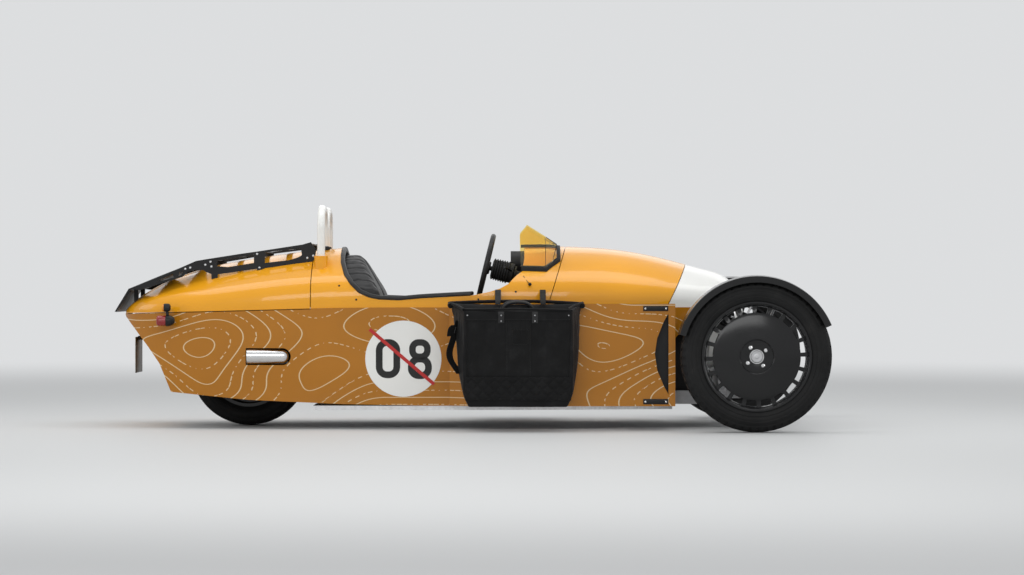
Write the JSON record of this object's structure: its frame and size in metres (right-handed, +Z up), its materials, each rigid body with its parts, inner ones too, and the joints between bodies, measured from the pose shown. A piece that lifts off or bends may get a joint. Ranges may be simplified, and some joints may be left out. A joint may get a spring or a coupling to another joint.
{
  "type": "open two-seat three-wheeled car",
  "caption": "Open sports three-wheeler with exposed front wheels, boat tail, side bags, luggage rack and aero screens.",
  "frame": {"origin": "on the ground under the middle of the overall box", "axes": "+X towards the front of the car, +Y to the car's left, +Z up"},
  "size_m": [3.6, 1.85, 1.1319],
  "materials": {
    "orange_paint": "gloss",
    "white_paint": "gloss",
    "black_gloss": "gloss",
    "black_metal": "satin",
    "dark_panel": "satin",
    "aluminium": "satin",
    "cast_aluminium": "matte",
    "steel": "satin",
    "tyre": "matte",
    "rubber": "matte",
    "black_leather": "satin",
    "black_plastic": "matte",
    "clear_glass": "gloss",
    "amber_screen": "gloss",
    "waxed_canvas": "matte",
    "red_lens": "gloss",
    "plate_white": "satin"
  },
  "bodies": {
    "tail_lid": {"tail_lid": "orange_paint", "luggage_rack": "black_metal"},
    "steer_left": {"upright_left": "cast_aluminium", "fender_left": "black_gloss"},
    "steer_right": {"upright_right": "cast_aluminium", "fender_right": "black_gloss"},
    "front_wheel_left": {"front_wheel_left": "black_gloss", "front_tyre_left": "tyre"},
    "front_wheel_right": {"front_wheel_right": "black_gloss", "front_tyre_right": "tyre"},
    "rear_wheel": {"rear_wheel": "black_gloss", "rear_tyre": "tyre"},
    "steering_wheel": {"steering_wheel": "black_plastic"},
    "steering_rack": {"steering_rack": "steel"},
    "car": {"blade_brackets": "black_metal", "bonnet": "orange_paint", "boot_tub": "dark_panel", "bulkhead": "dark_panel", "cockpit_surround": "orange_paint", "cockpit_trim": "black_leather", "dampers": "black_metal", "dashboard": "dark_panel", "drive_belt": "rubber", "engine": "cast_aluminium", "exhaust": "steel", "firewall": "dark_panel", "flank_left": "orange_paint", "flank_right": "orange_paint", "floor_pan": "aluminium", "front_frame": "cast_aluminium", "headlamp_lenses": "clear_glass", "headlamps": "black_gloss", "nose_cowl": "white_paint", "nose_grille": "black_metal", "number_plate": "plate_white", "pannier_left": "waxed_canvas", "pannier_right": "waxed_canvas", "pannier_straps": "black_metal", "pedals": "cast_aluminium", "rear_damper": "black_metal", "rear_frame": "black_metal", "roll_hoops": "white_paint", "screen_bases": "rubber", "seat_backs": "black_leather", "seat_cushions": "black_leather", "side_radiators": "black_metal", "sideblade_left": "orange_paint", "sideblade_right": "orange_paint", "steering_column": "black_plastic", "swing_arm": "black_metal", "tail_lamps": "red_lens", "tail_panel": "orange_paint", "tunnel": "dark_panel", "windscreens": "amber_screen", "wishbones": "black_metal"}
  },
  "joints": [
    {"name": "steer_left", "type": "hinge", "parent": "car", "child": "steer_left", "pos_m": [1.428, 0.755, 0.372], "axis": [0, 0, 1], "range_deg": [-27, 27]},
    {"name": "steer_right", "type": "hinge", "parent": "car", "child": "steer_right", "pos_m": [1.428, -0.755, 0.372], "axis": [0, 0, 1], "range_deg": [-27, 27]},
    {"name": "rack_slide", "type": "slide", "parent": "car", "child": "steering_rack", "axis": [0, 1, 0], "range_m": [-0.0606, 0.0606]},
    {"name": "steering_wheel_turn", "type": "hinge", "parent": "car", "child": "steering_wheel", "pos_m": [0.096, -0.235, 0.815], "axis": [0.9715, 0, -0.2368], "range_deg": [-271, 271]},
    {"name": "front_left_spin", "type": "hinge", "parent": "steer_left", "child": "front_wheel_left", "pos_m": [1.428, 0.84, 0.372], "axis": [0, 1, 0], "continuous": true},
    {"name": "front_right_spin", "type": "hinge", "parent": "steer_right", "child": "front_wheel_right", "pos_m": [1.428, -0.84, 0.372], "axis": [0, 1, 0], "continuous": true},
    {"name": "rear_spin", "type": "hinge", "parent": "car", "child": "rear_wheel", "pos_m": [-1.128, 0, 0.305], "axis": [0, 1, 0], "continuous": true},
    {"name": "tail_lid_hinge", "type": "hinge", "parent": "car", "child": "tail_lid", "pos_m": [-1.758, 0, 0.573], "axis": [0, -1, 0], "range_deg": [0, 50]}
  ],
  "couplings": [
    {"joint": "steer_right", "follows": "steer_left", "ratio": 1},
    {"joint": "rack_slide", "follows": "steer_left", "m_per_rad": -0.128},
    {"joint": "steering_wheel_turn", "follows": "steer_left", "ratio": -10}
  ]
}
